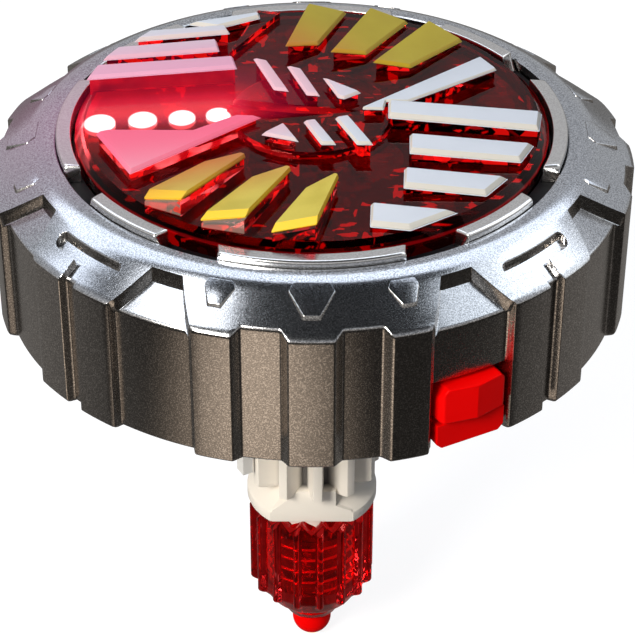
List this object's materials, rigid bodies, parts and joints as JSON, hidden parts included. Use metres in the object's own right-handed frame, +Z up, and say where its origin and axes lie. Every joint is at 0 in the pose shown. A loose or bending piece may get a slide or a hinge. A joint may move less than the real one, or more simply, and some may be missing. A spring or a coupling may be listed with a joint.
{
  "type": "battling spinning top with launch gear",
  "caption": "Battling spinning top: heavy metal ring, clear slatted cover over lamps, side button, launch gear with a sprung clutch, and a ball tip that turns freely.",
  "frame": {"origin": "where the ball tip touches the ground, on the spin axis", "axes": "+Z up along the spin axis, -Y towards the side the picture shows, +X to its right"},
  "size_m": [0.0658, 0.0658, 0.0715],
  "materials": {
    "ring_metal": "satin die-cast metal with a fine sparkle",
    "silver": "polished silver plating",
    "steel": "bright steel",
    "brass": "bright brass",
    "clear_red": "clear tinted plastic, polished",
    "red_plastic": "glossy",
    "tip_plastic": "smooth bright plastic",
    "white_plastic": "smooth satin plastic",
    "yellow_plastic": "smooth satin plastic",
    "black_plastic": "glossy black",
    "ivory_plastic": "moulded, semi-matt",
    "board": "solder mask",
    "lamp_plastic": "clear lens"
  },
  "bodies": {
    "top": {"metal_ring": "ring_metal", "silver_trim": "silver", "black_liner": "black_plastic", "clear_cover": "clear_red", "white_slat_right_1": "white_plastic", "white_slat_right_2": "white_plastic", "white_slat_right_3": "white_plastic", "white_slat_right_4": "white_plastic", "white_slat_right_5": "white_plastic", "white_slat_left_1": "white_plastic", "white_slat_left_2": "white_plastic", "white_slat_left_3": "white_plastic", "white_slat_left_4": "white_plastic", "white_slat_left_5": "white_plastic", "white_slat_upper_1": "white_plastic", "white_slat_upper_2": "white_plastic", "white_slat_upper_3": "white_plastic", "white_slat_lower_1": "white_plastic", "white_slat_lower_2": "white_plastic", "white_slat_lower_3": "white_plastic", "yellow_blade_back_1": "yellow_plastic", "yellow_blade_back_2": "yellow_plastic", "yellow_blade_back_3": "yellow_plastic", "yellow_blade_front_1": "yellow_plastic", "yellow_blade_front_2": "yellow_plastic", "yellow_blade_front_3": "yellow_plastic", "black_deck": "black_plastic", "lamp_board": "board", "lamp_1": "lamp_plastic", "lamp_2": "lamp_plastic", "lamp_3": "lamp_plastic", "lamp_4": "lamp_plastic", "core_housing": "black_plastic", "cell_holder": "white_plastic", "button_cell_1": "steel", "button_cell_2": "steel", "button_cell_3": "steel", "contact_plate": "brass", "button_sill": "red_plastic", "tact_switch": "black_plastic", "lower_housing": "black_plastic", "housing_screw_1": "steel", "housing_screw_2": "steel", "housing_screw_3": "steel", "housing_screw_4": "steel", "neck_bush": "brass", "drive_shaft": "steel", "shaft_nut": "steel", "thrust_washer": "steel", "gear_circlip": "steel", "launcher_lugs": "white_plastic", "clutch_spring": "steel", "drive_cup": "clear_red", "tip_bush": "brass"},
    "gear": {"launch_gear": "ivory_plastic"},
    "clutch": {"clutch_ring": "clear_red"},
    "button": {"lamp_button": "red_plastic", "switch_plunger": "black_plastic"},
    "tip": {"ball_tip": "tip_plastic", "tip_keeper": "steel"}
  },
  "joints": [
    {"name": "gear_spin", "type": "hinge", "parent": "top", "child": "gear", "pos_m": [0, 0, 0.03], "axis": [0, 0, 1], "continuous": true},
    {"name": "clutch_slide", "type": "slide", "parent": "top", "child": "clutch", "axis": [0, 0, 1], "range_m": [-0.0006, 0], "stiffness_N_per_m": 300, "springref_m": 0.0008, "deforming": ["clutch_spring"]},
    {"name": "button_press", "type": "slide", "parent": "top", "child": "button", "axis": [-0.4695, 0.8829, 0], "range_m": [0, 0.0012], "stiffness_N_per_m": 500, "springref_m": -0.0006},
    {"name": "tip_spin", "type": "hinge", "parent": "top", "child": "tip", "pos_m": [0, 0, 0.00224], "axis": [0, 0, 1], "continuous": true}
  ]
}
